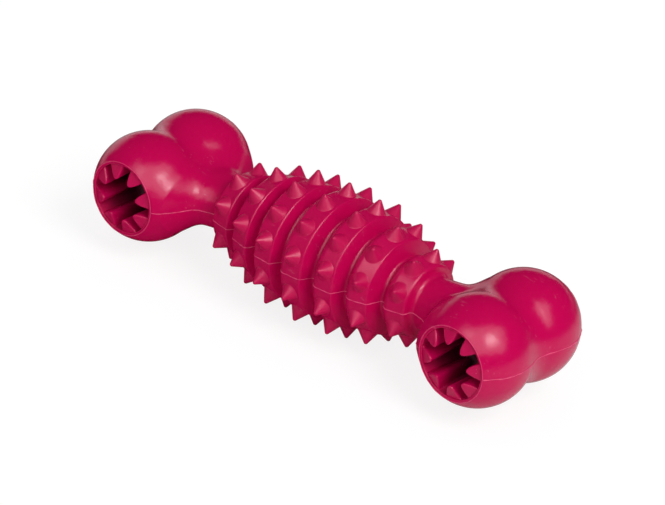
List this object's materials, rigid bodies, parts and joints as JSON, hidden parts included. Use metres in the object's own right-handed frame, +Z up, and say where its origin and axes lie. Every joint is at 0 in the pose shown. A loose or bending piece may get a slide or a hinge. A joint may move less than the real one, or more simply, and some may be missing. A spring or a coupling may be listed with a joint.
{
  "type": "rubber chew toy",
  "caption": "Bone-shaped rubber dog toy to chew: a ringed barrel covered in blunt spikes, necks, and paired round lobes at each end with toothed treat pockets.",
  "frame": {"origin": "centre of the toy, where the bone's axis crosses the middle of the barrel in the parting plane", "axes": "+X along the bone to the end shown nearer in the picture, +Y towards the back lobes, +Z up, square to the mould's parting plane"},
  "size_m": [0.18, 0.0492, 0.049],
  "materials": {
    "rubber": "crimson moulded rubber, satin, with a faint bloom, fine scuffs and a thin parting-line flash"
  },
  "bodies": {
    "root": {"barrel_core": "rubber", "ring_1": "rubber", "ring_1_spikes": "rubber", "ring_2": "rubber", "ring_2_spikes": "rubber", "ring_3": "rubber", "ring_3_spikes": "rubber", "ring_4": "rubber", "ring_4_spikes": "rubber", "ring_5": "rubber", "ring_5_spikes": "rubber", "ring_6": "rubber", "ring_6_spikes": "rubber", "ring_7": "rubber", "ring_7_spikes": "rubber", "left_neck": "rubber", "left_front_lobe": "rubber", "left_front_teeth": "rubber", "left_back_lobe": "rubber", "left_back_teeth": "rubber", "right_neck": "rubber", "right_front_lobe": "rubber", "right_front_teeth": "rubber", "right_back_lobe": "rubber", "right_back_teeth": "rubber"}
  },
  "joints": []
}
